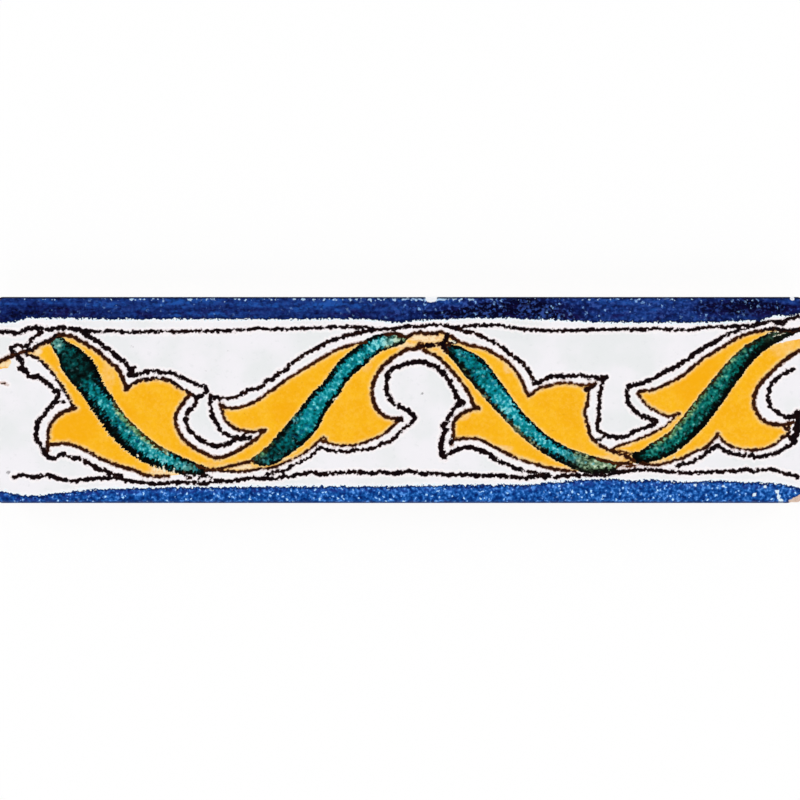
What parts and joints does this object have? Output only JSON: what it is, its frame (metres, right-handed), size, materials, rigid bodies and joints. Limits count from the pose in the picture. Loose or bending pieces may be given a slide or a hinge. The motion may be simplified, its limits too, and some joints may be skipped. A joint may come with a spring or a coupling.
{
  "type": "glazed border tile",
  "caption": "Long narrow glazed ceramic strip for edging a run of wall tiles, with a painted leaf scroll between blue bands on its face and keying grooves in its back.",
  "frame": {"origin": "middle of the back, in the plane that beds on the wall or floor", "axes": "+X along the strip, +Y across it towards the upper blue band, +Z out of the glazed face"},
  "size_m": [0.201, 0.0516, 0.0095],
  "materials": {
    "glazed_tile": "gloss"
  },
  "bodies": {
    "root": {"border_tile": "glazed_tile"}
  },
  "joints": []
}
